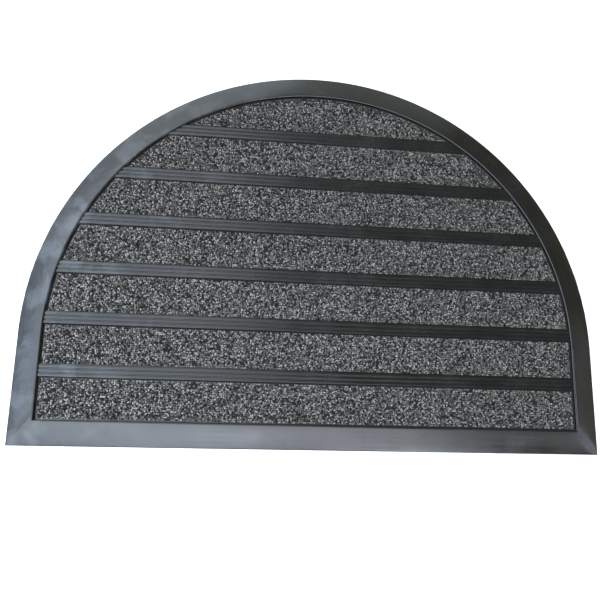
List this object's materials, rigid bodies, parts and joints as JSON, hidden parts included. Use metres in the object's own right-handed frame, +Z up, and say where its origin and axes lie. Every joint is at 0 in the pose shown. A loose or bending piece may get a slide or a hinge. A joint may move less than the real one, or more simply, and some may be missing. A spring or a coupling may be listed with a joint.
{
  "type": "doormat",
  "caption": "Half-round doormat: a moulded rubber tray with a bevelled border and ribbed bars, with bands of short speckled loop carpet laid between the bars.",
  "frame": {"origin": "at floor level, under the middle of the mat's bounding box", "axes": "+X along the straight front edge, +Y from the straight front edge to the rounded back, +Z up from the floor"},
  "size_m": [0.6, 0.41, 0.008],
  "materials": {
    "rubber": "moulded black rubber, satin, with fine moulding grain",
    "carpet": "short loop pile, speckled from black through charcoal to light grey"
  },
  "bodies": {
    "root": {"rubber_tray": "rubber", "carpet_band_1": "carpet", "carpet_band_2": "carpet", "carpet_band_3": "carpet", "carpet_band_4": "carpet", "carpet_band_5": "carpet", "carpet_band_6": "carpet", "carpet_band_7": "carpet"}
  },
  "joints": []
}
